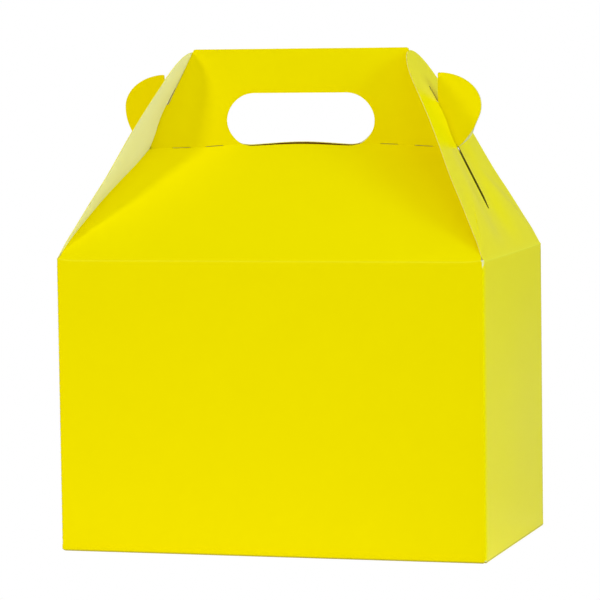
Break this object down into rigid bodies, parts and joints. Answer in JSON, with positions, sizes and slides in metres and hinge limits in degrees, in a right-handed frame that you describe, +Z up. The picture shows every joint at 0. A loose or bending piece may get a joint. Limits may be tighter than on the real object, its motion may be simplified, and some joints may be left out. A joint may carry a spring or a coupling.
{
  "type": "cardboard lunch box",
  "caption": "Gable-top carton lunch box with an upright handle, a finger hole and slotted end flaps that hook over the ears of the handle.",
  "frame": {"origin": "on the floor, under the middle of the box", "axes": "+Z up, +X to the right along the front wall, the front wall faces -Y"},
  "size_m": [0.225, 0.134, 0.257],
  "materials": {
    "carton": "smooth coated yellow outside, plain white inside",
    "right_end_flap": "smooth coated yellow outside, plain white inside",
    "left_end_flap": "smooth coated yellow outside, plain white inside"
  },
  "bodies": {
    "box": {"carton": "carton"},
    "right_flap": {"right_end_flap": "right_end_flap"},
    "left_flap": {"left_end_flap": "left_end_flap"}
  },
  "joints": [
    {"name": "right_flap_fold", "type": "hinge", "parent": "box", "child": "right_flap", "pos_m": [0.11225, 0, 0.151], "axis": [0, 1, 0], "range_deg": [0, 145]},
    {"name": "left_flap_fold", "type": "hinge", "parent": "box", "child": "left_flap", "pos_m": [-0.11225, 0, 0.151], "axis": [0, -1, 0], "range_deg": [0, 145]}
  ]
}
